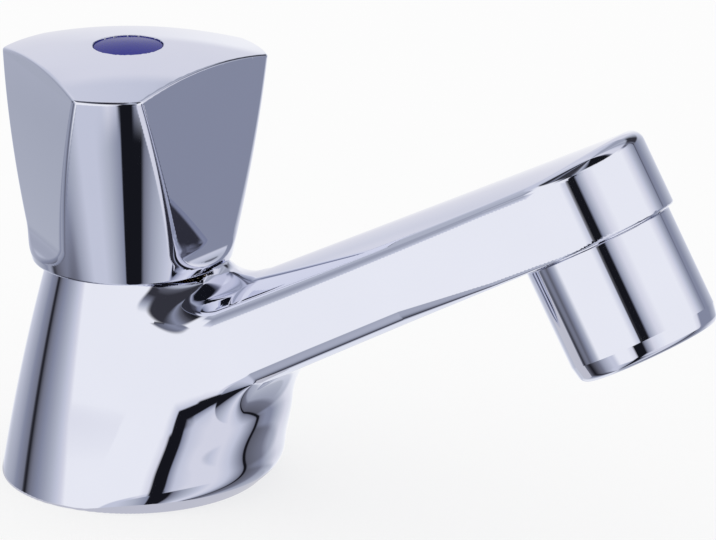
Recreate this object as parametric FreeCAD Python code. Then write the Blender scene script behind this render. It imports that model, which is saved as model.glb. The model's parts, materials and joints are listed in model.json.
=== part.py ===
import FreeCAD, Part
import math
import os

# Cold water pillar tap with a fixed spout, a three-lobed handle and a non-rising spindle headwork.
# Millimetres. The origin is where the valve axis meets the deck, +Z is up and the spout points along +X.

V = FreeCAD.Vector
ORIGIN = V(0, 0, 0)
UP = V(0, 0, 1)

# Clearances
running_clearance = 0.06
contact_gap = 0.05
seat_gap = 0.1

# Body casting: a cone at the back, with a front that leans out under the spout
base_radius = 25.0
body_mid_height = 21.5
body_mid_radius = 20.65
body_height = 42.4
neck_radius = 15.3
# The casting's outside is centred a little behind the valve axis
casting_set_back = 0.9
# Height of the round front's outline, how much smaller its radius is than the back's, and its forward shift.
# The rows above the neck only guide the saddle and are trimmed off.
front_rounds = (
    (0.0, 0.15, 0.7),
    (3.0, -0.05, 4.1),
    (8.0, -0.65, 6.1),
    (15.0, -1.3, 8.4),
    (20.0, -0.2, 11.3),
    (25.0, 1.6, 14.9),
    (30.0, 2.8, 16.6),
    (34.0, 2.6, 10.9),
    (38.0, 1.5, 4.0),
    (42.4, 0.6, 0.9),
    (48.0, 0.65, 0.9),
    (54.0, 0.65, 0.9),
)
front_sections = 17

# Spout: a crowned bar, whose underside runs on into the plane of the outlet seam
seam_x = 98.35
seam_z = 62.3
spout_tilt = 29.55
head_radius = 15.1
spout_side_height = 13.7
crown_at_head = 1.95
crown_growth = 0.044
spout_root = 100.0
root_half_width = 11.9
top_edge_radius = 1.3
low_edge_radius = 2.8
handle_sweep_radius = 19.5
junction_fillet = 5.0

# Waterway in the casting
inlet_chamber_radius = 7.5
seat_plate_bottom = 17.0
seat_plate_top = 19.8
seat_height = 21.0
seat_bore = 5.5
seat_rim = 1.5
valve_chamber_radius = 9.3
valve_chamber_top = 32.0
waterway_radius = 4.0
waterway_end_depth = 9.7
waterway_start_x = 8.0
waterway_start_z = 25.0
outlet_chamber_radius = 8.4
outlet_chamber_depth = 13.3

# Threads, as plain cylinders of the thread's outer radius where they are hidden
pipe_thread_radius = 10.4775
pipe_thread_pitch = 1.814
pipe_thread_depth = 1.1
thread_crest = 0.5
aerator_thread_radius = 12.0
aerator_socket_depth = 6.0

# Shank and fixing below the deck
shank_length = 48.0
shank_engagement = 11.0
shank_bore = 6.9
shank_tail_radius = 10.2
shank_tail_length = 12.0
shank_seal_thickness = 1.2
deck_thickness = 18.0
deck_washer_radius = 19.0
deck_washer_thickness = 2.0
back_nut_flats = 27.0
back_nut_height = 8.0
back_nut_flange_radius = 16.0
back_nut_flange_height = 1.6
base_seal_margin = 2.1
base_seal_width = 2.4
base_seal_height = 2.0
base_pocket_inner = 13.0
base_pocket_wall = 1.7
base_pocket_depth = 9.0

# Headwork
headwork_bottom = 33.0
headwork_flats = 22.0
headwork_flange_radius = 13.2
headwork_flange_height = 1.4
headwork_hex_top = 48.0
headwork_tower_radius = 8.0
headwork_top = 62.0
headwork_seal_thickness = 1.2
headwork_seal_width = 2.3
guide_flats = 14.8
guide_top = 47.0

# Spindle
spindle_radius = 5.0
spindle_collar_radius = 7.2
spindle_collar_height = 1.9
thrust_washer_thickness = 0.5
spindle_stem_radius = 3.8
spindle_stem_bottom = 33.5
spindle_top = 75.2
spline_radius = 4.0
spline_bottom = 63.6
spline_depth = 0.35
spline_teeth = 20
ring_section = 1.4
ring_proud = 0.03
ring_groove_margin = 0.15
ring_spacing = 4.2
first_ring_height = 4.5
circlip_bottom = 62.1
circlip_thickness = 0.75
circlip_width = 1.9
circlip_groove = 0.7
circlip_opening = 3.0

# Valve plunger, washer and its screw
plunger_cup_radius = 8.1
plunger_cup_bottom = 23.0
plunger_cup_top = 26.0
plunger_top = 39.0
plunger_bore_bottom = 27.6
valve_washer_radius = 7.4
valve_washer_thickness = 3.0
washer_recess = 1.05
washer_screw_radius = 1.9
washer_screw_length = 6.0
washer_screw_head_radius = 3.3
washer_screw_head_height = 1.5
washer_screw_slot = 1.0

# Handle: turned with a swelling side, then cut by three upright faces that leave three lobes
handle_bottom = 43.0
handle_ring_radius = 18.9
handle_middle_radius = 22.9
handle_tip_radius = 26.3
handle_middle_height = 62.0
handle_tip_height = 80.0
handle_angle = 24.2
face_foot_distance = 17.75
face_middle_distance = 18.6
face_head_distance = 18.15
face_foot = 49.0
face_middle = 66.0
face_flare_height = 4.5
face_flare_distance = 19.6
face_flare_ease = 0.6
dome_apex = 84.1
dome_radius = 98.0
handle_wall = 2.2
handle_top_wall = 2.6
handle_edge = 0.4
boss_radius = 8.4
boss_bottom = 64.0
bush_radius = 6.4
bush_top = 75.5
web_thickness = 2.0
web_bottom = 66.0
screw_radius = 2.5
screw_length = 10.0
screw_head_radius = 4.2
screw_head_height = 2.7
screw_pocket_radius = 4.6
screw_head_space = 3.4
screw_slot = 1.1

# Blue indicator cap
cap_radius = 6.5
cap_seat = 81.4
cap_sink = 0.25
cap_rise = 0.45

# Aerator
aerator_radius = 13.9
aerator_length = 22.3
aerator_seam_gap = 0.25
aerator_rim_rounding = 1.5
aerator_band_height = 3.4
aerator_band_taper = 11.0
aerator_bore = 10.5
aerator_lip = 1.6
aerator_lip_height = 1.4
insert_flange_radius = 11.2
insert_flange_height = 0.9
insert_bottom_space = 1.2
insert_bore = 9.0
insert_hub_radius = 2.0
insert_ribs = 8
insert_rib_width = 1.0
insert_rib_height = 5.0
jet_plate_top = -0.5
jet_plate_thickness = 1.5
jet_radius = 0.7
jets = 12
jet_circle = 6.2
aerator_seal_width = 2.3
aerator_seal_thickness = 1.4
strainer_rim_radius = 9.4
strainer_dome_radius = 8.0
strainer_rise = 2.2
strainer_thickness = 0.5
strainer_hole_radius = 0.6
strainer_hole_spacing = 2.3
strainer_rings = (2.2, 4.4, 6.6)
screen_thickness = 0.6
screen_bar = 0.55
screen_pitch = 2.2

os.makedirs("parts", exist_ok=True)


def save(name, shape):
    """Write one sub-part."""
    shape.exportStep("parts/" + name + ".step")


def rod(radius, bottom, top):
    """Upright cylinder between two heights."""
    return Part.makeCylinder(radius, top - bottom, V(0, 0, bottom))


def ring(outer, inner, bottom, top):
    """Upright tube between two heights."""
    return rod(outer, bottom, top).cut(rod(inner, bottom, top))


def hexagon(flats, bottom, top):
    """Upright hexagonal prism, given by its width across flats."""
    corner = flats / 2 / math.cos(math.pi / 6)
    points = [V(corner * math.cos(math.radians(60 * i)), corner * math.sin(math.radians(60 * i)), bottom)
              for i in range(7)]
    return Part.Face(Part.makePolygon(points)).extrude(V(0, 0, top - bottom))


def turned(points):
    """Solid of revolution about Z from a closed outline of (radius, height) pairs."""
    outline = [V(r, 0, z) for r, z in points]
    return Part.Face(Part.makePolygon(outline + outline[:1])).revolve(ORIGIN, UP, 360)


def arc(a, b, c):
    """Arc edge through three points."""
    return Part.Arc(a, b, c).toShape()


def line(a, b):
    """Straight edge between two points."""
    return Part.LineSegment(a, b).toShape()


def joined(shapes):
    """One solid from several overlapping ones."""
    return shapes[0].multiFuse(shapes[1:]).removeSplitter()


def body_radius(height):
    """Radius of the body's back at a height, on the arc through its foot, middle and neck."""
    back = Part.Circle(V(base_radius, 0, 0), V(body_mid_radius, 0, body_mid_height),
                       V(neck_radius, 0, body_height))
    return back.Center.x + math.sqrt(back.Radius ** 2 - (height - back.Center.z) ** 2)


# The aerator and the spout head share one tilted axis. Its frame has Z up the axis from the seam and X away
# from the body.
tilted = FreeCAD.Placement(V(seam_x, 0, seam_z), FreeCAD.Rotation(V(0, 1, 0), -spout_tilt))


def on_spout(shape):
    """Move a shape made in the spout's own frame to its place on the tap."""
    return shape.transformed(tilted.toMatrix())


def crown_height(along):
    """Height of the spout's top line above the seam plane, at a distance from the outlet axis."""
    return spout_side_height + crown_at_head - crown_growth * along


def egg(height, front_radius, shift):
    """Level outline of the body: the round back, the round front and the straight flanks between them."""
    back = body_radius(height)
    lean = math.acos((back - front_radius) / shift)
    side = V(math.cos(lean), math.sin(lean), 0)
    mirror = V(side.x, -side.y, 0)
    lift = V(0, 0, height)
    middle = V(shift, 0, height)
    back_left = side * back + lift
    back_right = mirror * back + lift
    front_left = side * front_radius + middle
    front_right = mirror * front_radius + middle
    return Part.Wire([
        arc(back_left, V(-back, 0, height), back_right),
        line(back_right, front_right),
        arc(front_right, V(shift + front_radius, 0, height), front_left),
        line(front_left, back_left),
    ])


def spout_plan(height):
    """Plan of the spout in its own frame: straight flanks from the root, tangent to the round head."""
    reach = math.hypot(spout_root, root_half_width)
    flare = math.asin(head_radius / reach) - math.atan2(root_half_width, spout_root)
    touch_x = -head_radius * math.sin(flare)
    touch_y = head_radius * math.cos(flare)
    return Part.Wire([
        line(V(-spout_root, root_half_width, height), V(-spout_root, -root_half_width, height)),
        line(V(-spout_root, -root_half_width, height), V(touch_x, -touch_y, height)),
        arc(V(touch_x, -touch_y, height), V(head_radius, 0, height), V(touch_x, touch_y, height)),
        line(V(touch_x, touch_y, height), V(-spout_root, root_half_width, height)),
    ])


def crown_section(along, half_width):
    """Upright outline under the spout's crowned top, wider than the spout."""
    rise = crown_height(along) - spout_side_height
    crown = (head_radius ** 2 + rise ** 2) / (2 * rise)
    low = crown_height(along) - crown + math.sqrt(crown ** 2 - half_width ** 2)
    return Part.Wire([
        arc(V(along, -half_width, low), V(along, 0, crown_height(along)), V(along, half_width, low)),
        line(V(along, half_width, low), V(along, half_width, -1)),
        line(V(along, half_width, -1), V(along, -half_width, -1)),
        line(V(along, -half_width, -1), V(along, -half_width, low)),
    ])


def spout_form():
    """Outside of the spout and its head, in the spout's own frame."""
    bar = Part.Face(spout_plan(0)).extrude(V(0, 0, 2 * spout_side_height))
    margin = 1.0
    crown = Part.makeLoft([
        crown_section(-spout_root - margin, head_radius + margin),
        crown_section(head_radius + margin, head_radius + margin),
    ], True, True)
    form = bar.common(crown)
    inside = -spout_root + margin
    top = [e for e in form.Edges
           if e.BoundBox.ZMin > spout_side_height / 2 and e.BoundBox.XMax > inside]
    form = form.makeFillet(top_edge_radius, top)
    low = [e for e in form.Edges
           if e.BoundBox.ZMax < margin and e.BoundBox.XMax > inside]
    form = form.makeFillet(low_edge_radius, low)
    return form.fuse(Part.makeCylinder(head_radius, spout_side_height / 2))


def body_cone():
    """The body without its spout: a round back and a front that leans out, then the neck."""
    spine = Part.BSplineCurve()
    spine.interpolate([V(shift, body_radius(height) - less, height) for height, less, shift in front_rounds])
    sections = []
    for i in range(front_sections):
        point = spine.value(spine.FirstParameter + (spine.LastParameter - spine.FirstParameter)
                            * i / (front_sections - 1))
        sections.append(egg(point.z, point.y, point.x))
    return Part.makeLoft(sections, True, False)


def body_form():
    """Outside of the casting, solid. One fillet runs all the way round where the spout meets the body."""
    cone = body_cone().translated(V(-casting_set_back, 0, 0))
    form = joined([cone, on_spout(spout_form())])
    under = [e for e in form.Edges
             if e.BoundBox.ZMin > body_mid_height and e.BoundBox.ZMax < valve_chamber_top
             and e.BoundBox.YLength > head_radius]
    form = form.makeFillet(junction_fillet, under)
    return form.cut(rod(handle_sweep_radius, body_height, 2 * body_height))


def base_seal_inner():
    """Inner radius of the base seal, which lies a margin inside the edge of the base."""
    return base_radius - base_seal_margin - base_seal_width


def tap_body():
    """The casting: body, seat, waterway and spout in one piece."""
    waterway_start = V(waterway_start_x, 0, waterway_start_z)
    waterway_end = tilted.multVec(V(0, 0, waterway_end_depth))
    run = waterway_end - waterway_start
    socket_top = shank_engagement + shank_seal_thickness
    cuts = [
        rod(pipe_thread_radius, 0, socket_top),
        rod(inlet_chamber_radius, socket_top, seat_plate_bottom),
        rod(seat_bore, seat_plate_bottom, seat_height),
        ring(valve_chamber_radius, seat_bore + seat_rim, seat_plate_top, seat_height),
        rod(valve_chamber_radius, seat_height, valve_chamber_top),
        rod(pipe_thread_radius, valve_chamber_top, body_height),
        rod(pipe_thread_radius + headwork_seal_width, body_height - headwork_seal_thickness, body_height),
        ring(base_seal_inner() - base_pocket_wall, base_pocket_inner, 0, base_pocket_depth),
        ring(base_radius - base_seal_margin, base_seal_inner(), 0, base_seal_height),
        Part.makeCylinder(waterway_radius, run.Length, waterway_start, run),
        on_spout(rod(aerator_thread_radius, -1, aerator_socket_depth)),
        on_spout(rod(outlet_chamber_radius, aerator_socket_depth, outlet_chamber_depth)),
    ]
    body = body_form()
    for hollow in cuts:
        body = body.cut(hollow)
    return body


# Fixing and supply side
def inlet_shank():
    """Threaded supply shank: a tube with the thread shown as turned grooves, and a plain tail."""
    thread_end = shank_tail_length - shank_length
    tube = ring(pipe_thread_radius, shank_bore, thread_end, shank_engagement)
    tail = ring(shank_tail_radius, shank_bore, -shank_length, thread_end)
    crest = thread_crest / 2
    root = pipe_thread_radius - pipe_thread_depth
    half = pipe_thread_pitch / 2
    outside = pipe_thread_radius + 1
    outline = [(outside, -half + crest), (pipe_thread_radius, -half + crest), (root, 0),
               (pipe_thread_radius, half - crest), (outside, half - crest)]
    groove = turned(outline)
    count = int((-thread_end - half) / pipe_thread_pitch)
    grooves = [groove.translated(V(0, 0, -pipe_thread_pitch * (i + 1))) for i in range(count)]
    return tube.cut(Part.makeCompound(grooves)).fuse(tail)


def back_nut():
    """Flanged nut that draws the tap down on the deck."""
    top = -deck_thickness - deck_washer_thickness
    bottom = top - back_nut_height
    flange = rod(back_nut_flange_radius, top - back_nut_flange_height, top)
    solid = hexagon(back_nut_flats, bottom, top).fuse(flange)
    return solid.cut(rod(pipe_thread_radius, bottom, top)).removeSplitter()


def deck_washer():
    """Soft washer between the nut and the underside of the deck."""
    return ring(deck_washer_radius, pipe_thread_radius + seat_gap,
                -deck_thickness - deck_washer_thickness, -deck_thickness)


# Headwork
def headwork_body():
    """The screwed-in valve housing, with its hexagonal guide for the plunger."""
    outside = joined([
        rod(pipe_thread_radius, headwork_bottom, body_height),
        rod(headwork_flange_radius, body_height, body_height + headwork_flange_height),
        hexagon(headwork_flats, body_height + headwork_flange_height, headwork_hex_top),
        rod(headwork_tower_radius, headwork_hex_top, headwork_top),
    ])
    guide = hexagon(guide_flats, headwork_bottom, guide_top)
    return outside.cut(guide).cut(rod(spindle_radius + running_clearance, guide_top, headwork_top))


def collar_top():
    """Height of the spindle collar's upper face, under the thrust washer."""
    return guide_top - contact_gap - thrust_washer_thickness - contact_gap


def thrust_washer():
    """Slip washer between the spindle collar and the headwork."""
    bottom = collar_top() + contact_gap
    return ring(spindle_collar_radius, spindle_radius + seat_gap, bottom, bottom + thrust_washer_thickness)


def spline_star(bottom, top):
    """Splined rod that carries the handle bush."""
    points = []
    for i in range(2 * spline_teeth + 1):
        radius = spline_radius - spline_depth * (i % 2)
        angle = math.pi * i / spline_teeth
        points.append(V(radius * math.cos(angle), radius * math.sin(angle), bottom))
    return Part.Face(Part.makePolygon(points)).extrude(V(0, 0, top - bottom))


def ring_heights():
    """Heights of the two O-rings, counted up from the top of the headwork's guide."""
    first = guide_top + first_ring_height
    return first, first + ring_spacing


def ring_groove_root():
    """Radius at the bottom of the O-ring grooves."""
    return spindle_radius + ring_proud - ring_section


def spindle():
    """The turning spindle: splined head, two O-ring grooves, collar and lifting stem."""
    shape = joined([
        rod(spindle_stem_radius, spindle_stem_bottom, collar_top()),
        rod(spindle_collar_radius, collar_top() - spindle_collar_height, collar_top()),
        rod(spindle_radius, collar_top(), spline_bottom),
        spline_star(spline_bottom, spindle_top),
    ])
    cuts = [ring(2 * spindle_radius, spindle_radius - circlip_groove, circlip_bottom,
                 circlip_bottom + circlip_thickness),
            rod(screw_radius, screw_bottom(), spindle_top)]
    half = ring_section / 2 + ring_groove_margin
    for height in ring_heights():
        cuts.append(ring(2 * spindle_radius, ring_groove_root(), height - half, height + half))
    for hollow in cuts:
        shape = shape.cut(hollow)
    return shape


def spindle_o_rings():
    """The two O-rings on the spindle."""
    centre = spindle_radius + ring_proud - ring_section / 2
    return Part.makeCompound([
        Part.makeTorus(centre, ring_section / 2, V(0, 0, height))
        for height in ring_heights()
    ])


def spindle_circlip():
    """Open ring that keeps the spindle from dropping."""
    inner = spindle_radius - circlip_groove
    clip = ring(inner + circlip_width, inner, circlip_bottom, circlip_bottom + circlip_thickness)
    gap = Part.makeBox(2 * circlip_width + spindle_radius, circlip_opening, circlip_thickness,
                       V(0, -circlip_opening / 2, circlip_bottom))
    return clip.cut(gap)


# Plunger
def plunger_stem_bore():
    """Radius of the plunger's lifting thread."""
    return spindle_stem_radius + running_clearance


def valve_plunger():
    """Hexagonal plunger that lifts off the seat, with a cup for the valve washer."""
    flats = guide_flats - 2 * running_clearance
    shape = joined([rod(plunger_cup_radius, plunger_cup_bottom, plunger_cup_top),
                    hexagon(flats, plunger_cup_top, plunger_top)])
    washer_top = plunger_cup_bottom + washer_recess
    shape = shape.cut(rod(plunger_stem_bore(), plunger_bore_bottom, plunger_top))
    shape = shape.cut(rod(valve_washer_radius + contact_gap, plunger_cup_bottom, washer_top))
    return shape.cut(rod(washer_screw_radius, washer_top, screw_shank_top()))


def valve_washer_bottom():
    """Height of the valve washer's sealing face with the tap closed."""
    return plunger_cup_bottom + washer_recess - valve_washer_thickness


def screw_shank_top():
    """Height of the upper end of the washer screw."""
    return valve_washer_bottom() + washer_screw_length


def valve_washer():
    """The rubber washer that closes on the seat."""
    bottom = valve_washer_bottom()
    return ring(valve_washer_radius, washer_screw_radius, bottom, bottom + valve_washer_thickness)


def washer_screw():
    """Slotted screw that holds the valve washer."""
    head_top = valve_washer_bottom()
    head_bottom = head_top - washer_screw_head_height
    screw = rod(washer_screw_head_radius, head_bottom, head_top).fuse(
        rod(washer_screw_radius, head_top, screw_shank_top()))
    slot = Part.makeBox(2 * washer_screw_head_radius, washer_screw_slot, washer_screw_head_height / 2,
                        V(-washer_screw_head_radius, -washer_screw_slot / 2, head_bottom))
    return screw.cut(slot)


# Handle
def turned_handle(inset):
    """The handle before its faces are cut: turned on an arc, wider at the top, or drawn in by an even wall."""
    side = arc(V(handle_ring_radius - inset, 0, handle_bottom),
               V(handle_middle_radius - inset, 0, handle_middle_height),
               V(handle_tip_radius - inset, 0, handle_tip_height))
    top = dome_apex + handle_edge
    outline = Part.Wire([
        side,
        line(V(handle_tip_radius - inset, 0, handle_tip_height), V(handle_tip_radius - inset, 0, top)),
        line(V(handle_tip_radius - inset, 0, top), V(0, 0, top)),
        line(V(0, 0, top), V(0, 0, handle_bottom)),
        line(V(0, 0, handle_bottom), V(handle_ring_radius - inset, 0, handle_bottom)),
    ])
    return Part.Face(outline).revolve(ORIGIN, UP, 360)


def face_cutter(inset):
    """What a face takes away on one side: it swells a little and flares out at its foot."""
    half = handle_tip_radius + inset
    foot = V(face_foot_distance - inset, -half, face_foot)
    head = V(face_head_distance - inset, -half, handle_tip_height)
    swell = Part.Arc(foot, V(face_middle_distance - inset, -half, face_middle), head)
    lean = swell.tangent(swell.FirstParameter)[0]
    flare_end = V(face_flare_distance - inset, -half, face_foot - face_flare_height)
    flare = Part.BezierCurve()
    flare.setPoles([flare_end, foot - lean * (face_flare_height * face_flare_ease), foot])
    top = V(face_head_distance - inset, -half, dome_apex + 1)
    far_top = V(2 * half, -half, dome_apex + 1)
    far_foot = V(2 * half, -half, flare_end.z)
    outline = Part.Wire([flare.toShape(), swell.toShape(), line(head, top), line(top, far_top),
                         line(far_top, far_foot), line(far_foot, flare_end)])
    return Part.Face(outline).extrude(V(0, 2 * half, 0))


def handle_shape(inset, apex):
    """The turned form with its three faces cut, under a dome of its own height."""
    shape = turned_handle(inset)
    for i in range(3):
        shape = shape.cut(face_cutter(inset).rotate(ORIGIN, UP, 60 + 120 * i))
    return shape.common(Part.makeSphere(dome_radius, V(0, 0, apex - dome_radius)))


def screw_bottom():
    """Height of the lower end of the handle screw."""
    return cap_seat - screw_head_space - screw_length


def handle():
    """Three-lobed hollow handle with a splined boss and webs inside."""
    outside = handle_shape(0, dome_apex)
    rim = dome_apex - dome_radius + math.sqrt(dome_radius ** 2 - handle_tip_radius ** 2)
    upper = [e for e in outside.Edges if e.BoundBox.ZMin > rim - handle_edge]
    outside = outside.makeChamfer(handle_edge, upper)
    hollow = handle_shape(handle_wall, dome_apex - handle_top_wall)
    hollow = hollow.cut(rod(boss_radius, boss_bottom, dome_apex))
    for i in range(3):
        web = Part.makeBox(handle_tip_radius, web_thickness, dome_apex - web_bottom,
                           V(0, -web_thickness / 2, web_bottom))
        hollow = hollow.cut(web.rotate(ORIGIN, UP, 120 * i))
    shape = outside.cut(hollow)
    for pocket in (rod(bush_radius, boss_bottom, bush_top),
                   rod(screw_radius, bush_top, cap_seat),
                   rod(screw_pocket_radius, cap_seat - screw_head_space, cap_seat),
                   rod(cap_radius + running_clearance, cap_seat, dome_apex)):
        shape = shape.cut(pocket)
    return shape.rotate(ORIGIN, UP, handle_angle - 90)


def handle_bush():
    """Splined bush pressed in the boss of the handle."""
    return rod(bush_radius, boss_bottom, bush_top).cut(spline_star(boss_bottom, spindle_top)).cut(
        rod(screw_radius, spindle_top, bush_top))


def handle_screw():
    """Cross-slotted screw that clamps the handle on the spindle."""
    head_bottom = cap_seat - screw_head_space
    head_top = head_bottom + screw_head_height
    screw = rod(screw_head_radius, head_bottom, head_top).fuse(rod(screw_radius, screw_bottom(), head_bottom))
    arm = screw_head_radius * 1.2
    for i in range(2):
        slot = Part.makeBox(arm, screw_slot, screw_head_height / 2,
                            V(-arm / 2, -screw_slot / 2, head_top - screw_head_height / 2))
        screw = screw.cut(slot.rotate(ORIGIN, UP, 90 * i))
    return screw


def indicator_cap():
    """Blue domed cap over the screw."""
    drop = dome_radius - math.sqrt(dome_radius ** 2 - cap_radius ** 2)
    edge = dome_apex - drop - cap_sink
    ball = (cap_radius ** 2 + cap_rise ** 2) / (2 * cap_rise)
    dome = Part.makeSphere(ball, V(0, 0, edge + cap_rise - ball))
    return rod(cap_radius, cap_seat, dome_apex).common(dome)


# Aerator, all in the outlet's tilted frame
def housing_top():
    """Level of the housing's upper end inside the spout."""
    return aerator_socket_depth - aerator_seal_thickness - insert_flange_height


def aerator_housing():
    """Chromed sleeve that screws into the outlet, with a tapered band at its mouth."""
    bottom = -aerator_length
    foot_radius = aerator_radius - aerator_band_height * math.tan(math.radians(aerator_band_taper))
    sleeve = turned([(0, bottom), (foot_radius, bottom), (aerator_radius, bottom + aerator_band_height),
                     (aerator_radius, -aerator_seam_gap), (0, -aerator_seam_gap)])
    rim = [e for e in sleeve.Edges if e.BoundBox.ZMax < bottom + aerator_band_height / 2]
    sleeve = sleeve.makeFillet(aerator_rim_rounding, rim)
    sleeve = sleeve.fuse(rod(aerator_thread_radius, -aerator_seam_gap, housing_top()))
    sleeve = sleeve.cut(rod(aerator_bore, bottom + aerator_lip_height, housing_top()))
    return on_spout(sleeve.cut(rod(aerator_bore - aerator_lip, bottom, 0)))


def aerator_seal():
    """Flat ring that seals the insert against the shoulder in the spout."""
    top = aerator_socket_depth
    outer = aerator_thread_radius - seat_gap
    return on_spout(ring(outer, outer - aerator_seal_width, top - aerator_seal_thickness, top))


def insert_bottom():
    """Level of the lower end of the insert."""
    return -aerator_length + aerator_lip_height + insert_bottom_space


def aerator_insert():
    """Plastic flow straightener that hangs in the housing by its flange."""
    outer = aerator_bore - seat_gap
    tube = ring(outer, insert_bore, insert_bottom(), housing_top() + insert_flange_height)
    flange = ring(insert_flange_radius, insert_bore, housing_top(), housing_top() + insert_flange_height)
    plate = rod(insert_bore + seat_gap, jet_plate_top - jet_plate_thickness, jet_plate_top)
    rib_bottom = insert_bottom() + screen_thickness
    hub = rod(insert_hub_radius, rib_bottom, rib_bottom + insert_rib_height)
    shapes = [tube, flange, plate, hub]
    for i in range(insert_ribs):
        rib = Part.makeBox(insert_bore + seat_gap, insert_rib_width, insert_rib_height,
                           V(0, -insert_rib_width / 2, rib_bottom))
        shapes.append(rib.rotate(ORIGIN, UP, 360 * i / insert_ribs))
    shape = joined(shapes)
    holes = []
    for i in range(jets):
        angle = 2 * math.pi * i / jets
        hole = rod(jet_radius, jet_plate_top - jet_plate_thickness, jet_plate_top)
        holes.append(hole.translated(V(jet_circle * math.cos(angle), jet_circle * math.sin(angle), 0)))
    return on_spout(shape.cut(Part.makeCompound(holes)))


def aerator_strainer():
    """Pierced dome that keeps grit out of the insert."""
    base = housing_top() + insert_flange_height
    half = strainer_dome_radius
    inside = (half ** 2 + strainer_rise ** 2) / (2 * strainer_rise)
    centre = V(0, 0, base + strainer_rise - inside)
    keep = rod(strainer_rim_radius, base, base + 2 * strainer_rise)
    dome = Part.makeSphere(inside + strainer_thickness, centre).common(keep)
    shape = dome.fuse(rod(strainer_rim_radius, base, base + strainer_thickness))
    shape = shape.cut(Part.makeSphere(inside, centre)).removeSplitter()
    holes = []
    for radius in strainer_rings:
        count = round(2 * math.pi * radius / strainer_hole_spacing)
        for i in range(count):
            angle = 2 * math.pi * i / count
            hole = rod(strainer_hole_radius, base, base + 2 * strainer_rise)
            holes.append(hole.translated(V(radius * math.cos(angle), radius * math.sin(angle), 0)))
    return on_spout(shape.cut(Part.makeCompound(holes)))


def aerator_screen():
    """Grid at the mouth of the insert."""
    bottom = insert_bottom()
    top = bottom + screen_thickness
    mouth = insert_bore
    count = int(mouth / screen_pitch)
    bars = [ring(mouth, mouth - screen_bar, bottom, top)]
    for i in range(-count, count + 1):
        bar = Part.makeBox(2 * mouth, screen_bar, screen_thickness,
                           V(-mouth, i * screen_pitch - screen_bar / 2, bottom))
        bars.append(bar)
        bars.append(bar.rotated(ORIGIN, UP, 90))
    return on_spout(joined(bars).common(rod(mouth, bottom, top)))


save("tap_body", tap_body())
save("base_seal", ring(base_radius - base_seal_margin, base_seal_inner(), 0, base_seal_height))
save("inlet_shank", inlet_shank())
save("shank_seal", ring(pipe_thread_radius, inlet_chamber_radius, shank_engagement,
                        shank_engagement + shank_seal_thickness))
save("deck_washer", deck_washer())
save("back_nut", back_nut())
save("headwork_body", headwork_body())
save("headwork_seal", ring(pipe_thread_radius + headwork_seal_width, pipe_thread_radius,
                           body_height - headwork_seal_thickness, body_height))
save("thrust_washer", thrust_washer())
save("spindle", spindle())
save("spindle_o_rings", spindle_o_rings())
save("spindle_circlip", spindle_circlip())
save("valve_plunger", valve_plunger())
save("valve_washer", valve_washer())
save("washer_screw", washer_screw())
save("handle", handle())
save("handle_bush", handle_bush())
save("handle_screw", handle_screw())
save("indicator_cap", indicator_cap())
save("aerator_housing", aerator_housing())
save("aerator_seal", aerator_seal())
save("aerator_insert", aerator_insert())
save("aerator_strainer", aerator_strainer())
save("aerator_screen", aerator_screen())
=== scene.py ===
import json
import math

import bpy
import numpy as np
from mathutils import Matrix


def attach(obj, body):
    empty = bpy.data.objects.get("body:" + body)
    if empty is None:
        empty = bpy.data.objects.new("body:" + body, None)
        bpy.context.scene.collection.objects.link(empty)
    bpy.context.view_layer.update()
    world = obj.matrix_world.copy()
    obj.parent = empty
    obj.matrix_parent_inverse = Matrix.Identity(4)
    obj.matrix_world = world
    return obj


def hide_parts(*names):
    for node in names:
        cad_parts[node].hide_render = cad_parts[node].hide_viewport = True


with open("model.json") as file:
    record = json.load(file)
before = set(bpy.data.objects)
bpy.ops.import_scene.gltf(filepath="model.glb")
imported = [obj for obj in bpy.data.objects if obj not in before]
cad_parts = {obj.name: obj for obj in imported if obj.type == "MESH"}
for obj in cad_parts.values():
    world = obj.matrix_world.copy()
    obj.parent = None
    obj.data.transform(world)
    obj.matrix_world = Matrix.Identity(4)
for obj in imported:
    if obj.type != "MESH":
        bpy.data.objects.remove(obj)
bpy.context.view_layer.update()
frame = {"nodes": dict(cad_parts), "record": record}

MM = 0.001

# The camera, fitted to the photograph. Its place is in millimetres, and its clipping in metres.
camera_place = (463.5275, -703.5496, 327.3842)
camera_right = (0.86248587, 0.50606184, -0.0044204)
camera_up = (-0.16021962, 0.28132824, 0.94614169)
camera_back = (0.48004978, -0.8153256, 0.32372266)
focal_pixels = 4715.0
frame_pixels = 716.0
sensor_width = 36.0
camera_clip = (0.05, 50)

# Casting: a round back on an arc, whose rows give height and radius, and a front that leans out, whose rows
# give height, radius and forward shift
neck_top = 42.4
back_rows = ((0.0, 25.0), (21.5, 20.65), (neck_top, 15.3))
casting_set_back = 0.9
front_rows = np.array((
    (-4.0, 25.1, -1.3),
    (0.0, 24.85, 0.7),
    (3.0, 24.2, 4.45),
    (8.0, 23.25, 7.2),
    (15.0, 21.9, 10.2),
    (20.0, 20.6, 12.0),
    (25.0, 18.2, 14.9),
    (30.0, 15.8, 16.6),
    (34.0, 15.0, 10.9),
    (38.0, 15.0, 4.0),
    (neck_top, 14.7, 0.9),
    (48.0, 13.0, 0.9),
    (54.0, 11.2, 0.9),
))
base_rounding = 0.4
neck_rounding = 0.3
handle_sweep_radius = 19.5
blend_heights = (20, 30, 36, 44)
blend_radii = (5.5, 5.5, 8.8, 16.0)

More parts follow.
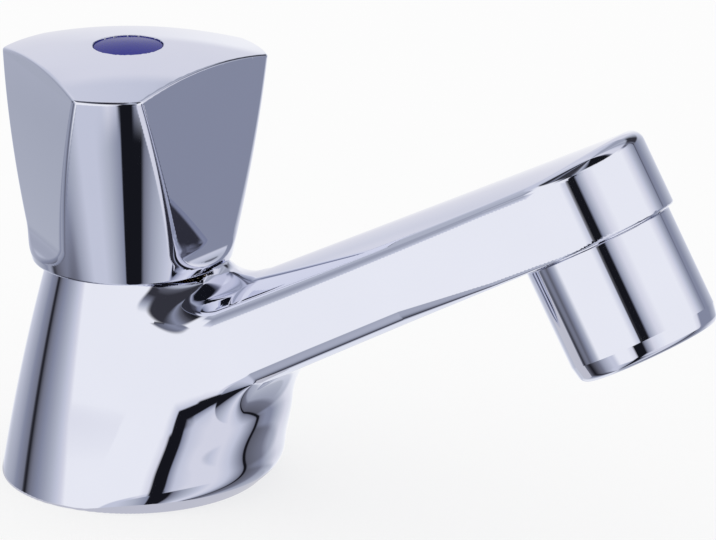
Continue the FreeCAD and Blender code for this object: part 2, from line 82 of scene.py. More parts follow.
# Spout, in its own frame: along the spout and square to the outlet seam
seam_x = 98.35
seam_z = 62.3
spout_tilt = math.radians(29.55)
spout_cosine = math.cos(spout_tilt)
spout_sine = math.sin(spout_tilt)
head_radius = 15.1
root_half_width = 11.9
spout_root = 100.0
spout_side_height = 13.7
crown_at_head = 1.95
crown_growth = 0.044
edge_places = (-60, -10, 3, 13)
top_edge_radii = (1.5, 1.3, 1.5, 2.3)
low_edge_places = (-60, -36, -15, 0)
low_edge_radii = (3.4, 3.2, 1.2, 0.45)

# Bores of the casting on the valve axis: radius, bottom and top, some reaching past the metal to cut it clear
shank_bore = (10.4775, -9, 12.2)
inlet_chamber = (7.5, 12, 17.0)
seat_bore = (5.5, 16, 22.0)
valve_chamber = (9.3, 21.0, 33.0)
headwork_bore = (10.4775, 32.0, 52.0)
headwork_recess = (12.7775, 41.2, 52.0)
# Grooves of the casting on the valve axis: outer radius, inner radius, bottom and top
seat_moat = (9.3, 7.0, 19.8, 22.0)
base_hollow = (18.8, 13.0, -9, 9.0)
seal_groove = (22.9, 20.5, -9, 2.0)
# Bores on the outlet's axis, as radius, bottom and top above the seam
sleeve_bore = (12.0, -5, 6.0)
outlet_chamber = (8.4, 5.0, 13.3)
# Waterway from the valve to a point on the outlet's axis
waterway_start = (8.0, 0, 25.0)
waterway_rise = 9.7
waterway_radius = 4.0

# Aerator housing on the spout's axis. Corners of its half section give radius, height and rounding.
aerator_corners = (
    (8.9, -22.3, 0.25),
    (13.24, -22.3, 1.5),
    (13.9, -18.9, 0.2),
    (13.9, -0.25, 0.25),
    (12.0, -0.25, 0),
    (12.0, 3.7, 0),
    (10.5, 3.7, 0),
    (10.5, -20.9, 0),
    (8.9, -20.9, 0),
)
aerator_turns = 160
corner_points = 9

# Handle: turned on an arc and cut by three upright faces, under a shallow dome. Rows give height and radius,
# or height and the face's distance from the axis.
handle_bottom = 43.0
handle_angle = 24.2
handle_turn = math.radians(handle_angle - 90)
side_rows = ((43.0, 18.9), (62.0, 22.9), (80.0, 26.3))
face_rows = ((49.0, 17.75), (66.0, 18.6), (80.0, 18.15))
# The side leans, so this share of its level distance is the square one
side_share = 0.98
flare_foot = (44.5, 19.6)
flare_ease = 2.7
dome_apex = 84.1
dome_radius = 98.0
crease_rounding = 0.6
dome_rounding = 0.5
rim_rounding = 0.4
wall = 2.2
top_wall = 2.6
web_bottom = 66.0
web_thickness = 2.0
# The boss and the holes inside it: radius, bottom and top
boss = (8.4, 64.0, 99)
bush_hole = (6.4, 0, 75.5)
screw_hole = (2.5, 60, 90)
screw_pocket = (4.6, 78.0, 90)

# Cap in its pocket in the dome
cap_radius = 6.5
cap_seat = 81.4
cap_gap = 0.06
cap_pocket = (cap_radius + cap_gap, cap_seat, 99)
cap_pocket_rounding = 0.12
cap_sink = 0.25
cap_crown = 0.45
cap_rounding = 0.15

# Skins: the box in which each is looked for, and the width of its cells
handle_reach = side_rows[2][1] + 1
body_grid = ((-28, -27, -2), (117, 27, 87), 0.4)
handle_grid = ((-handle_reach, -handle_reach, 41), (handle_reach, handle_reach, 86), 0.3)
cap_grid = ((-8, -8, 80), (8, 8, 86), 0.25)
# Cells are measured only in blocks whose middle lies within this many blocks of the surface
block_cells = 4
block_reach = 1.15
# Then the points are pulled onto the surface
pulls = 6
least_steepness = 0.05
slope_step = 0.01


def spline_through(places, values):
    """Natural cubic spline through a few rows, held beyond its ends."""
    count = len(places)
    steps = np.diff(places)
    system = np.eye(count)
    sides = np.zeros(count)
    for i in range(1, count - 1):
        system[i, i - 1] = steps[i - 1]
        system[i, i] = 2 * (steps[i - 1] + steps[i])
        system[i, i + 1] = steps[i]
        sides[i] = 6 * ((values[i + 1] - values[i]) / steps[i] - (values[i] - values[i - 1]) / steps[i - 1])
    bends = np.linalg.solve(system, sides)

    def value(x):
        x = np.clip(x, places[0], places[-1])
        i = np.clip(np.searchsorted(places, x) - 1, 0, count - 2)
        h = steps[i]
        a = (places[i + 1] - x) / h
        b = (x - places[i]) / h
        curve = (a ** 3 - a) * bends[i] + (b ** 3 - b) * bends[i + 1]
        return a * values[i] + b * values[i + 1] + curve * h ** 2 / 6
    return value


def arc_through(rows):
    """Value against height on the arc through three rows, held beyond its ends."""
    (low, start), (middle, value), (high, end) = rows
    system = ((middle - low, value - start), (high - middle, end - value))
    sides = ((middle ** 2 - low ** 2 + value ** 2 - start ** 2) / 2,
             (high ** 2 - middle ** 2 + end ** 2 - value ** 2) / 2)
    centre_height, centre_value = np.linalg.solve(system, sides)
    radius = math.hypot(low - centre_height, start - centre_value)
    side = math.copysign(1, value - centre_value)

    def at(z):
        return centre_value + side * np.sqrt(radius ** 2 - (np.clip(z, low, high) - centre_height) ** 2)
    return at


back_radius_at = arc_through(back_rows)
side_radius_at = arc_through(side_rows)
face_distance_at = arc_through(face_rows)
front_radius_at = spline_through(front_rows[:, 0], front_rows[:, 1])
front_shift_at = spline_through(front_rows[:, 0], front_rows[:, 2])


# Forms are signed distances in millimetres, below zero inside
def two_circles(x, y, gap, first, second):
    """Distance to the hull of a circle at the origin and one at gap along X."""
    y = np.abs(y)
    gap = np.maximum(gap, 1e-6)
    lean = np.clip((first - second) / gap, -1, 1)
    side = np.sqrt(1 - lean * lean)
    place = side * x - lean * y
    near = np.hypot(x, y) - first
    far = np.hypot(x - gap, y) - second
    flank = y * side + x * lean - first
    return np.where(place < 0, near, np.where(place > side * gap, far, flank))


def blend(a, b, radius):
    """Either form, with a fillet of that radius between them."""
    reach = np.hypot(np.maximum(radius - a, 0), np.maximum(radius - b, 0))
    return np.maximum(radius, np.minimum(a, b)) - reach


def both(a, b, radius):
    """Where the two forms overlap, with the edge rounded to that radius."""
    reach = np.hypot(np.maximum(radius + a, 0), np.maximum(radius + b, 0))
    return np.minimum(-radius, np.maximum(a, b)) + reach


def rod(x, y, z, radius, bottom, top):
    """Upright cylinder."""
    return np.maximum(np.hypot(x, y) - radius, np.maximum(bottom - z, z - top))


def tube(x, y, z, outer, inner, bottom, top):
    """Upright ring."""
    return np.maximum(rod(x, y, z, outer, bottom, top), inner - np.hypot(x, y))


def on_spout(x, z):
    """Place along the spout from the outlet axis, and height above the seam."""
    right = x - seam_x
    up = z - seam_z
    return right * spout_cosine + up * spout_sine, up * spout_cosine - right * spout_sine


def body_outside(x, y, z):
    """The casting without its bores: cone and spout, blended, and cut clear of the handle."""
    height = np.clip(z, front_rows[0, 0], front_rows[-1, 0])
    back = back_radius_at(height)
    shift = front_shift_at(height)
    behind = x + casting_set_back
    round_front = two_circles(behind, y, shift, back, front_radius_at(height))
    cone = np.where(shift < 0, np.hypot(behind, y) - back, round_front)
    along, up = on_spout(x, z)
    plan = two_circles(-along, y, spout_root, head_radius, root_half_width)
    rise = crown_at_head - crown_growth * along
    crown = (head_radius ** 2 + rise ** 2) / (2 * rise)
    top = np.hypot(y, up - (spout_side_height + rise - crown)) - crown
    bar = both(plan, top, np.interp(along, edge_places, top_edge_radii))
    bar = both(bar, -up, np.interp(along, low_edge_places, low_edge_radii))
    form = blend(cone, bar, np.interp(z, blend_heights, blend_radii))
    over_neck = np.maximum(np.hypot(x, y) - handle_sweep_radius, neck_top - z)
    form = both(form, -over_neck, neck_rounding)
    return both(form, -z, base_rounding)


def waterway(x, y, z):
    """Sloping bore with flat ends."""
    start = np.array(waterway_start)
    end = np.array((seam_x - waterway_rise * spout_sine, 0, seam_z + waterway_rise * spout_cosine))
    length = np.linalg.norm(end - start)
    run = (end - start) / length
    reach = (x - start[0]) * run[0] + (z - start[2]) * run[2]
    off = np.hypot(np.hypot(x - start[0] - reach * run[0], z - start[2] - reach * run[2]), y)
    return np.maximum(off - waterway_radius, np.maximum(-reach, reach - length))


def body_form(x, y, z):
    """The casting with its bores, seat, chambers and waterway."""
    along, up = on_spout(x, z)
    cuts = [rod(x, y, z, *bore) for bore in (
        shank_bore, inlet_chamber, seat_bore, valve_chamber, headwork_bore, headwork_recess)]
    cuts += [tube(x, y, z, *groove) for groove in (seat_moat, base_hollow, seal_groove)]
    cuts += [rod(along, y, up, *bore) for bore in (sleeve_bore, outlet_chamber)]
    cuts.append(waterway(x, y, z))
    return np.maximum(body_outside(x, y, z), -np.minimum.reduce(cuts))


def lobe_place(x, y):
    """Place along and beside the nearest lobe, folded to one side."""
    angle = np.arctan2(y, x) - handle_turn
    third = 2 * math.pi / 3
    angle = np.abs(angle - third * np.round(angle / third))
    radius = np.hypot(x, y)
    return radius * np.cos(angle), radius * np.sin(angle)


def flared(z):
    """Distance of a face from the axis at its foot, where it sweeps out to the ring."""
    (low, first), (high, last) = flare_foot, face_rows[0]
    lean = (face_distance_at(high + 1) - face_distance_at(high)) * flare_ease
    knee = high - flare_ease
    bend = low - 2 * knee + high
    rise = np.clip(z, low, high) - low
    run = 2 * (knee - low)
    share = 2 * rise / (run + np.sqrt(run ** 2 + 4 * bend * rise))
    return (1 - share) ** 2 * first + 2 * share * (1 - share) * (last - lean) + share ** 2 * last


def handle_outline(x, y, z, inset):
    """The turned side and the three faces, drawn in by a wall."""
    along, beside = lobe_place(x, y)
    side = (np.hypot(x, y) - side_radius_at(z) + inset) * side_share
    face = np.where(z < face_rows[0][0], flared(z), face_distance_at(z))
    return side, along / 2 + beside * math.sqrt(3) / 2 - face + inset


def ball(x, y, z, radius, top):
    """Sphere on the axis with its highest point at a height."""
    return np.sqrt(x * x + y * y + (z - top + radius) ** 2) - radius


def handle_outside(x, y, z):
    """The handle as a solid lump, with the cap's pocket."""
    side, face = handle_outline(x, y, z, 0)
    form = both(side, face, crease_rounding)
    form = both(form, ball(x, y, z, dome_radius, dome_apex), dome_rounding)
    form = both(form, handle_bottom - z, rim_rounding)
    return both(form, -rod(x, y, z, *cap_pocket), cap_pocket_rounding)


def handle_form(x, y, z):
    """Hollow handle with a boss and three webs inside."""
    side, face = handle_outline(x, y, z, wall)
    hollow = np.maximum(np.maximum(side, face), ball(x, y, z, dome_radius, dome_apex - top_wall))
    hollow = np.maximum(hollow, -rod(x, y, z, *boss))
    beside = lobe_place(x, y)[1]
    hollow = np.maximum(hollow, -np.maximum(beside - web_thickness / 2, web_bottom - z))
    holes = np.minimum.reduce([rod(x, y, z, *hole) for hole in (bush_hole, screw_hole, screw_pocket)])
    return np.maximum(handle_outside(x, y, z), -np.minimum(hollow, holes))


def cap_form(x, y, z):
    """Blue indicator, slightly crowned."""
    rim = dome_apex - dome_radius + math.sqrt(dome_radius ** 2 - cap_radius ** 2) - cap_sink
    radius = (cap_radius ** 2 + cap_crown ** 2) / (2 * cap_crown)
    form = both(np.hypot(x, y) - cap_radius, ball(x, y, z, radius, rim + cap_crown), cap_rounding)
    return np.maximum(form, cap_seat - z)


def slope(form, points):
    """Gradient of a form at points."""
    gradient = np.empty_like(points)
    for axis in range(3):
        shift = np.zeros(3)
        shift[axis] = slope_step
        gradient[:, axis] = (form(*(points + shift).T) - form(*(points - shift).T)) / (2 * slope_step)
    return gradient


def added(name, mesh):
    """A new object in the scene."""
    obj = bpy.data.objects.new(name, mesh)
    bpy.context.scene.collection.objects.link(obj)
    return obj


def skinned(name, form, low, high, pitch):
    """A mesh of quads on a form's surface, one vertex to each cell that the surface crosses."""
    low = np.array(low, float)
    block = pitch * block_cells
    blocks = np.ceil((np.array(high) - low) / block).astype(int)
    size = blocks * block_cells
    middles = [low[i] + (np.arange(blocks[i]) + 0.5) * block for i in range(3)]
    rough = form(*np.meshgrid(*middles, indexing="ij"))
    field = rough.astype(np.float32)
    for axis in range(3):
        field = field.repeat(block_cells, axis)
    near = np.argwhere(np.abs(rough) < block_reach * block)
    inner = np.stack(np.meshgrid(*[np.arange(block_cells)] * 3, indexing="ij"), -1).reshape(-1, 3)
    index = (near[:, None] * block_cells + inner[None]).reshape(-1, 3)
    field[tuple(index.T)] = form(*(low + index * pitch).T)
    inside = field < 0

    # Cells with corners on both sides of the surface
    cells = np.zeros(size - 1, bool)
    solid = np.ones(size - 1, bool)
    for corner in inner[np.all(inner < 2, 1)]:
        part = inside[tuple(slice(c, c + n - 1) for c, n in zip(corner, size))]
        cells |= part
        solid &= part
    cells &= ~solid
    number = np.full(size - 1, -1)
    places = np.argwhere(cells)
    number[cells] = np.arange(len(places))
    points = low + (places + 0.5) * pitch
    for _ in range(pulls):
        gradient = slope(form, points)
        move = form(*points.T) / np.maximum((gradient ** 2).sum(1), least_steepness)
        points = points - np.clip(gradient * move[:, None], -pitch, pitch)

    # A quad round each edge of the grid that the surface crosses
    quads = []
    for axis in range(3):
        first = (axis + 1) % 3
        second = (axis + 2) % 3
        along = [slice(None)] * 3
        along[axis] = slice(0, -1)
        ahead = [slice(None)] * 3
        ahead[axis] = slice(1, None)
        before = inside[tuple(along)]
        edges = np.argwhere(before != inside[tuple(ahead)])
        edges = edges[np.all((edges > 0) & (edges < size - 1), 1)]
        outward = before[tuple(edges.T)]
        around = []
        for a, b in ((1, 1), (0, 1), (0, 0), (1, 0)):
            cell = edges.copy()
            cell[:, first] -= a
            cell[:, second] -= b
            around.append(number[tuple(cell.T)])
        around = np.stack(around, 1)
        quads.append(np.where(outward[:, None], around, around[:, ::-1]))
    quads = np.concatenate(quads)
    normals = slope(form, points)
    normals /= np.linalg.norm(normals, axis=1, keepdims=True)

    mesh = bpy.data.meshes.new(name)
    mesh.vertices.add(len(points))
    mesh.vertices.foreach_set("co", (points * MM).astype(np.float32).ravel())
    mesh.loops.add(4 * len(quads))
    mesh.loops.foreach_set("vertex_index", quads.astype(np.int32).ravel())
    mesh.polygons.add(len(quads))
    mesh.polygons.foreach_set("loop_start", np.arange(0, 4 * len(quads), 4, dtype=np.int32))
    mesh.update(calc_edges=True)
    mesh.shade_smooth()
    mesh.normals_split_custom_set_from_vertices(normals.astype(np.float32))
    return added(name, mesh)


def half_section(corners):
    """Points of a closed half section with rounded corners, each with the normals of its two sides."""
    points = []
    normals = []
    for i, (radius, height, rounding) in enumerate(corners):
        here = np.array((radius, height))
        into = here - corners[i - 1][:2]
        onward = corners[(i + 1) % len(corners)][:2] - here
        into /= np.linalg.norm(into)
        onward /= np.linalg.norm(onward)
        first = np.array((into[1], -into[0]))
        last = np.array((onward[1], -onward[0]))
        if rounding == 0:
            points.append(here)
            normals.append((first, last))
            continue
        turn = math.acos(np.clip(into @ onward, -1, 1))
        centre = here - into * rounding * math.tan(turn / 2) - first * rounding
        for share in np.linspace(0, 1, corner_points):
            normal = (first * math.sin((1 - share) * turn) + last * math.sin(share * turn)) / math.sin(turn)
            points.append(centre + normal * rounding)
            normals.append((normal, normal))
    return points, normals


def turned_skin(name, corners, turns):
    """A mesh turned about the outlet's axis from a closed half section, with crisp edges."""
    points, normals = half_section(corners)
    away = np.array((spout_cosine, 0, spout_sine))
    upward = np.array((-spout_sine, 0, spout_cosine))
    seam = np.array((seam_x, 0, seam_z))
    vertices = []
    spokes = []
    for j in range(turns):
        angle = 2 * math.pi * j / turns
        spoke = away * math.cos(angle) + np.array((0, math.sin(angle), 0))
        spokes.append(spoke)
        vertices += [tuple((seam + spoke * r + upward * h) * MM) for r, h in points]
    rows = len(points)
    faces = []
    corner_normals = []
    for j in range(turns):
        k = (j + 1) % turns
        for i in range(rows):
            m = (i + 1) % rows
            faces.append((j * rows + i, k * rows + i, k * rows + m, j * rows + m))
            start = normals[i][1]
            end = normals[m][0]
            for spoke, normal in ((j, start), (k, start), (k, end), (j, end)):
                corner_normals.append(tuple(spokes[spoke] * normal[0] + upward * normal[1]))
    mesh = bpy.data.meshes.new(name)
    mesh.from_pydata(vertices, [], faces)
    mesh.shade_smooth()
    mesh.normals_split_custom_set(corner_normals)
    return added(name, mesh)


# Materials. Noise stays between these values nearly everywhere, and its scales count waves to a metre.
noise_low = 0.3
noise_high = 0.7
grain_detail = 4
grain_depth = 0.0002
grains_to_drift = 6

chrome_slots = ("chrome_body", "chrome_handle", "chrome_aerator")
chrome_tone = (0.785, 0.80, 0.895)
chrome_tones = ((0.78, 0.795, 0.89), (0.79, 0.805, 0.90))
chrome_plain_roughness = 0.02
chrome_roughness = (0.015, 0.035)
chrome_drift_scale = 60
chrome_haze_scale = 140

# Other finishes: slot, two close tones, metallic, range of roughness, scale of the grain and its strength
finishes = (
    ("brass", (0.70, 0.50, 0.22), (0.78, 0.58, 0.28), 1.0, (0.22, 0.36), 900, 0.15),
    ("steel", (0.55, 0.56, 0.58), (0.64, 0.65, 0.67), 1.0, (0.20, 0.34), 900, 0.12),
    ("rubber_black", (0.018, 0.018, 0.02), (0.03, 0.03, 0.032), 0.0, (0.5, 0.7), 1500, 0.3),
    ("fibre_red", (0.36, 0.07, 0.05), (0.45, 0.11, 0.08), 0.0, (0.7, 0.9), 1200, 0.5),
    ("plastic_white", (0.82, 0.82, 0.80), (0.88, 0.88, 0.86), 0.0, (0.3, 0.42), 700, 0.1),
    ("plastic_grey", (0.30, 0.31, 0.33), (0.37, 0.38, 0.40), 0.0, (0.32, 0.45), 700, 0.1),
    ("plastic_blue", (0.004, 0.005, 0.20), (0.006, 0.008, 0.24), 0.0, (0.12, 0.2), 300, 0.04),
)
# The blue cap mirrors less than other plastics
blue_specular = 0.1


def material(name, colour, metallic, roughness):
    """A principled material with plain values, and the tree and shader that its detail hangs on."""
    made = bpy.data.materials.new(name)
    made.use_nodes = True
    tree = made.node_tree
    shader = tree.nodes["Principled BSDF"]
    shader.inputs["Base Color"].default_value = (*colour, 1)
    shader.inputs["Metallic"].default_value = metallic
    shader.inputs["Roughness"].default_value = roughness
    return made, tree, shader


def noise(tree, scale, detail=2.0):
    """Noise in the piece's own coordinates, in metres."""
    place = tree.nodes.new("ShaderNodeTexCoord")
    texture = tree.nodes.new("ShaderNodeTexNoise")
    texture.inputs["Scale"].default_value = scale
    texture.inputs["Detail"].default_value = detail
    tree.links.new(place.outputs["Object"], texture.inputs["Vector"])
    return texture.outputs["Fac"]


def hazed(tree, shader, source, low, high):
    """Roughness that drifts over a range."""
    node = tree.nodes.new("ShaderNodeMapRange")
    node.inputs["From Min"].default_value = noise_low
    node.inputs["From Max"].default_value = noise_high
    node.inputs["To Min"].default_value = low
    node.inputs["To Max"].default_value = high
    tree.links.new(source, node.inputs["Value"])
    tree.links.new(node.outputs["Result"], shader.inputs["Roughness"])


def grained(tree, shader, height, strength):
    """Fine relief from a height."""
    node = tree.nodes.new("ShaderNodeBump")
    node.inputs["Strength"].default_value = strength
    node.inputs["Distance"].default_value = grain_depth
    tree.links.new(height, node.inputs["Height"])
    tree.links.new(node.outputs["Normal"], shader.inputs["Normal"])


def tinted(tree, shader, source, first, second):
    """Colour that drifts between two close tones."""
    ramp = tree.nodes.new("ShaderNodeValToRGB")
    ramp.color_ramp.elements[0].position = noise_low
    ramp.color_ramp.elements[0].color = (*first, 1)
    ramp.color_ramp.elements[1].position = noise_high
    ramp.color_ramp.elements[1].color = (*second, 1)
    tree.links.new(source, ramp.inputs["Fac"])
    tree.links.new(ramp.outputs["Color"], shader.inputs["Base Color"])


def chrome(name):
    """Polished chrome plate: near mirror, with a faint drift of tone and haze."""
    made, tree, shader = material(name, chrome_tone, 1.0, chrome_plain_roughness)
    tinted(tree, shader, noise(tree, chrome_drift_scale), *chrome_tones)
    hazed(tree, shader, noise(tree, chrome_haze_scale), *chrome_roughness)
    return made


def grainy(name, first, second, metallic, roughness, scale, strength):
    """A material with drifting tone, roughness and fine grain."""
    made, tree, shader = material(name, first, metallic, roughness[0])
    grain = noise(tree, scale, grain_detail)
    tinted(tree, shader, noise(tree, scale / grains_to_drift), first, second)
    hazed(tree, shader, grain, *roughness)
    grained(tree, shader, grain, strength)
    return made


slots = {name: chrome(name) for name in chrome_slots}
for name, *finish in finishes:
    slots[name] = grainy(name, *finish)
blue = slots["plastic_blue"].node_tree.nodes["Principled BSDF"]
blue.inputs["Specular IOR Level"].default_value = blue_specular

slot_of = {part["node"]: part["material_slot"] for part in frame["record"]["subparts"]}
for node, obj in frame["nodes"].items():
    obj.data.materials.clear()
    obj.data.materials.append(slots[slot_of[node]])


# Skins in place of the chromed nodes and the cap
def dress(node, piece, body):
    """Give a skin its node's material, body and slot."""
    piece.data.materials.append(slots[slot_of[node]])
    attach(piece, body)
    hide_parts(node)


dress("tap_body", skinned("tap_body_skin", body_form, *body_grid), "tap")
dress("aerator_housing", turned_skin("aerator_housing_skin", aerator_corners, aerator_turns), "tap")
dress("handle", skinned("handle_skin", handle_form, *handle_grid), "handle")
dress("indicator_cap", skinned("indicator_cap_skin", cap_form, *cap_grid), "handle")


# Stage: a pale floor, and a studio whose walls and cards are painted round the horizon
floor_reach = 3000
floor_tone = (0.92, 0.92, 0.92)
floor_glow = 0.7

# A block in the deck's place below the floor, seen only by reflections: it glows at a fixed pale tone, a
# painted reflection
deck_radius = 27.0
deck_top = -0.3
deck_bottom = -62.0
deck_sides = 64
deck_reflection_glow = (0.62, 0.62, 0.66)

black = (0.009, 0.0095, 0.013)
coal = (0.04, 0.04, 0.05)
slate = (0.125, 0.128, 0.155)
ash = (0.205, 0.214, 0.265)
grey = (0.28, 0.30, 0.38)
steel = (0.39, 0.41, 0.48)
silver = (0.51, 0.535, 0.60)
pale = (0.66, 0.68, 0.76)
lavender = (0.80, 0.80, 0.85)
snow = (0.90, 0.914, 0.95)
white = (1.0, 1.0, 1.0)

# Each ring gives tones at bearings in degrees, counted from the spout's direction towards +Y
far_below = (
    (-180, grey), (-168, slate), (-160, coal), (-155, black), (-150, coal), (-140, slate), (-130, ash),
    (-122, steel), (-106, pale), (-90, pale), (-78, silver), (-66, grey), (-65, black), (-46, black),
    (-43, ash), (-34, steel), (-26, silver), (-14, pale), (-4, lavender), (10, pale), (20, steel),
    (28, ash), (29.5, black), (32.5, black), (34, slate), (56, ash), (66, steel), (100, silver),
    (112, snow), (136, snow), (170, steel),
)
low = (
    (-180, silver), (-174, steel), (-169, slate), (-167, black), (-165, coal), (-161, slate), (-150, ash),
    (-130, grey), (-114, silver), (-106, pale), (-82, pale), (-76, lavender), (-68, pale), (-66.5, black),
    (-54, black), (-53, grey), (-46, pale), (-34, lavender), (-4, lavender), (10, pale), (20, steel),
    (28, ash), (29.5, black), (32.5, black), (34, slate), (56, ash), (66, steel), (80, silver),
    (104, pale), (136, pale),
)
beside = (
    (-180, grey), (-174, steel), (-158, grey), (-150, slate), (-142, grey), (-134, silver),
    (-127, white), (-76, white), (-68, lavender), (-66.5, black), (-54.5, black), (-53.5, grey),
    (-46, pale), (-30, lavender), (-4, lavender), (10, pale), (20, steel), (28, ash), (29.5, black),
    (32.5, black), (34, ash), (43, grey), (52, grey), (66, silver), (84, lavender), (104, snow),
    (118, white), (134, snow), (144, pale), (156, silver), (171, steel),
)
below = (
    (-180, grey), (-169, ash), (-167, coal), (-164, black), (-161, slate), (-157, ash), (-149, grey),
    (-141, steel), (-134, silver), (-127, pale), (-122, lavender), (-118, white), (-74, white),
    (-66, pale), (-65, black), (-54, black), (-53, ash), (-49, steel), (-42, lavender),
    (-34, snow), (-24, white), (28, white), (37, lavender), (41, grey), (70, grey), (88, silver),
    (101, pale), (117, white), (128, lavender), (148, pale), (174, steel),
)
above = (
    (-180, silver), (-158, silver), (-150, steel), (-146, steel), (-140, snow), (-132, white),
    (-72, white), (-64, lavender), (-63, black), (-52.5, black), (-51.5, grey), (-46, silver),
    (-38, lavender), (-24, white), (30, white), (41, lavender), (46, pale), (51, silver), (56, steel),
    (61, grey), (61.7, coal), (63, coal), (64, ash), (70, coal), (86, coal), (99, silver),
    (108, lavender), (142, lavender), (160, pale), (172, silver),
)
high = (
    (-180, pale), (-160, pale), (-138, white), (-98, white), (-90, silver), (-83, ash), (-76, coal),
    (-66, coal), (-60, grey), (-50, silver), (-40, snow), (-12, white), (24, white), (37, lavender),
    (44, grey), (50, slate), (56, ash), (72, coal), (88, coal), (100, silver), (108, lavender),
    (130, lavender), (145, pale),
)
overhead = (
    (-180, pale), (-163, pale), (-152, slate), (-145, black), (-132, coal), (-122, slate), (-112, grey),
    (-106, coal), (-72, coal), (-62, slate), (-56, silver), (-50, steel), (-44, ash), (-38, black),
    (8, black), (14, ash), (20, lavender), (40, lavender), (54, pale), (66, steel), (78, silver),
    (86, steel), (107, steel), (120, pale), (160, lavender),
)
# Above the lowest ring, each ring takes over from the one before between two elevations in degrees
passages = (
    (low, -38.5, -36.5), (beside, -34, -30), (below, -16, -12), (above, 8, 14), (high, 25, 29),
    (overhead, 34, 40),
)


def maths(tree, operation, *values):
    """One step of arithmetic on node sockets or numbers."""
    node = tree.nodes.new("ShaderNodeMath")
    node.operation = operation
    for socket, value in zip(node.inputs, values):
        if isinstance(value, bpy.types.NodeSocket):
            tree.links.new(value, socket)
        else:
            socket.default_value = value
    return node.outputs[0]


def mixed(tree, factor, first, second):
    """A colour between two, each a node socket or plain values."""
    node = tree.nodes.new("ShaderNodeMix")
    node.data_type = "RGBA"
    tree.links.new(factor, node.inputs["Factor"])
    for name, value in (("A", first), ("B", second)):
        if isinstance(value, bpy.types.NodeSocket):
            tree.links.new(value, node.inputs[name])
        else:
            node.inputs[name].default_value = value
    return node.outputs["Result"]


def emptied_material(name):
    """A material whose tree has an output alone."""
    made = bpy.data.materials.new(name)
    made.use_nodes = True
    tree = made.node_tree
    tree.nodes.clear()
    return made, tree, tree.nodes.new("ShaderNodeOutputMaterial")


def deck_block():
    """A block below the floor that glows with a pale painted reflection and that only reflections see, so
    that none shows the hidden shank.
    """
    turns = [2 * math.pi * i / deck_sides for i in range(deck_sides)]
    ring = [(deck_radius * math.cos(turn), deck_radius * math.sin(turn)) for turn in turns]
    corners = [(x * MM, y * MM, z * MM) for z in (deck_top, deck_bottom) for x, y in ring]
    faces = [(i, (i + 1) % deck_sides, deck_sides + (i + 1) % deck_sides, deck_sides + i)
             for i in range(deck_sides)]
    faces.append(tuple(range(deck_sides)))
    mesh = bpy.data.meshes.new("deck_block")
    mesh.from_pydata(corners, [], faces)
    obj = added("deck_block", mesh)
    made, tree, out = emptied_material("deck_block")
    # Painted reflection: a fixed pale glow, not a lamp, where the deck would be seen
    glow = tree.nodes.new("ShaderNodeEmission")
    glow.inputs["Color"].default_value = (*deck_reflection_glow, 1)
    tree.links.new(glow.outputs[0], out.inputs["Surface"])
    obj.data.materials.append(made)
    obj.visible_camera = obj.visible_diffuse = obj.visible_shadow = False
    obj.visible_transmission = obj.visible_volume_scatter = False


def floor_sheet():
    """Pale floor that keeps the object's shadow, and looks near white to the camera."""
    reach = floor_reach * MM
    mesh = bpy.data.meshes.new("floor")
    mesh.from_pydata([(-reach, -reach, 0), (reach, -reach, 0), (reach, reach, 0), (-reach, reach, 0)],
                     [], [(0, 1, 2, 3)])
    obj = added("floor", mesh)
    made, tree, out = emptied_material("floor")
    diffuse = tree.nodes.new("ShaderNodeBsdfDiffuse")
    diffuse.inputs["Color"].default_value = (*floor_tone, 1)
    glow = tree.nodes.new("ShaderNodeEmission")
    glow.inputs["Color"].default_value = (1, 1, 1, 1)
    glow.inputs["Strength"].default_value = 1.0
    path = tree.nodes.new("ShaderNodeLightPath")
    mix = tree.nodes.new("ShaderNodeMixShader")
    share = maths(tree, "MULTIPLY", path.outputs["Is Camera Ray"], floor_glow)
    tree.links.new(share, mix.inputs["Fac"])
    tree.links.new(diffuse.outputs[0], mix.inputs[1])
    tree.links.new(glow.outputs[0], mix.inputs[2])
    tree.links.new(mix.outputs[0], out.inputs["Surface"])
    obj.data.materials.append(made)
    obj.visible_glossy = False


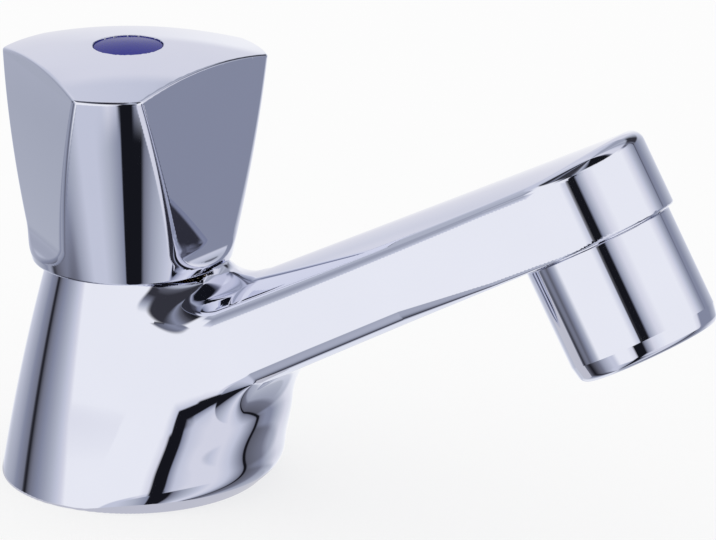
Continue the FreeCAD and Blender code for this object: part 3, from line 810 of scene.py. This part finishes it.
def ring_of_tones(tree, bearing, stops):
    """Colours round the horizon, from a bearing carried to 0..1."""
    node = tree.nodes.new("ShaderNodeValToRGB")
    ramp = node.color_ramp
    ramp.elements.remove(ramp.elements[1])
    for i, (degrees, tone) in enumerate(stops):
        place = (degrees + 180) / 360
        element = ramp.elements[0] if i == 0 else ramp.elements.new(place)
        element.position = place
        element.color = (*tone, 1)
    last = ramp.elements.new(1.0)
    last.color = (*stops[0][1], 1)
    tree.links.new(bearing, node.inputs["Fac"])
    return node.outputs["Color"]


def studio():
    """World that lights evenly and shows its walls and cards to reflections alone."""
    world = bpy.data.worlds.new("studio")
    bpy.context.scene.world = world
    world.use_nodes = True
    tree = world.node_tree
    background = tree.nodes["Background"]
    background.inputs["Strength"].default_value = 1.0
    place = tree.nodes.new("ShaderNodeTexCoord")
    split = tree.nodes.new("ShaderNodeSeparateXYZ")
    tree.links.new(place.outputs["Generated"], split.inputs[0])
    turn = maths(tree, "ARCTAN2", split.outputs["Y"], split.outputs["X"])
    bearing = maths(tree, "MULTIPLY_ADD", turn, 0.5 / math.pi, 0.5)
    colour = ring_of_tones(tree, bearing, far_below)
    for stops, start, end in passages:
        step = tree.nodes.new("ShaderNodeMapRange")
        step.interpolation_type = "SMOOTHSTEP"
        step.inputs["From Min"].default_value = math.sin(math.radians(start))
        step.inputs["From Max"].default_value = math.sin(math.radians(end))
        tree.links.new(split.outputs["Z"], step.inputs["Value"])
        colour = mixed(tree, step.outputs["Result"], colour, ring_of_tones(tree, bearing, stops))
    path = tree.nodes.new("ShaderNodeLightPath")
    colour = mixed(tree, path.outputs["Is Glossy Ray"], (1, 1, 1, 1), colour)
    tree.links.new(colour, background.inputs["Color"])


deck_block()
floor_sheet()
studio()

camera_data = bpy.data.cameras.new("camera")
camera_data.sensor_width = sensor_width
camera_data.lens = focal_pixels / frame_pixels * sensor_width
camera_data.clip_start, camera_data.clip_end = camera_clip
camera = added("camera", camera_data)
columns = (camera_right, camera_up, camera_back, tuple(c * MM for c in camera_place))
camera.matrix_world = Matrix([[columns[j][i] for j in range(4)] for i in range(3)] + [[0, 0, 0, 1]])
bpy.context.scene.camera = camera
bpy.context.scene.view_settings.view_transform = "Standard"
